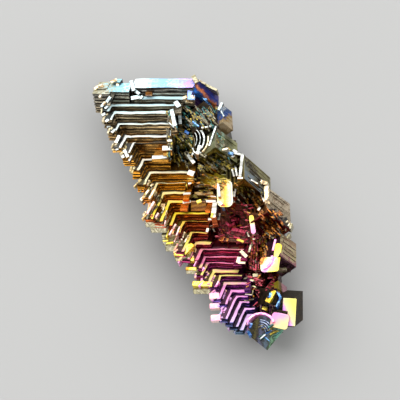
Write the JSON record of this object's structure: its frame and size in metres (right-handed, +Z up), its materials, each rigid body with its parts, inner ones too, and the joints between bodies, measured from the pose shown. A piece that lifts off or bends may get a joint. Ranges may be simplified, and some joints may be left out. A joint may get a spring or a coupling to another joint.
{
  "type": "bismuth hopper crystal",
  "caption": "Natural-form bismuth crystal cluster: nested stepped hopper ledges with a chain of pitted side crystals, resting on its flat back.",
  "frame": {"origin": "centre of the bounding box at the height of the flat back that the crystal lies on", "axes": "+Y along the crystal's long axis, from the narrow tip towards the wide top ledge; +Z up, out of the ledged front; +X towards the chain of side crystals"},
  "size_m": [0.019, 0.0458, 0.0128],
  "materials": {
    "bismuth_oxide": "bright bismuth metal under a thin iridescent oxide film: cyan at the top, then gold, crimson and violet towards the tip, with dull grey-gold outer faces"
  },
  "bodies": {
    "root": {"bismuth_crystal": "bismuth_oxide"}
  },
  "joints": []
}
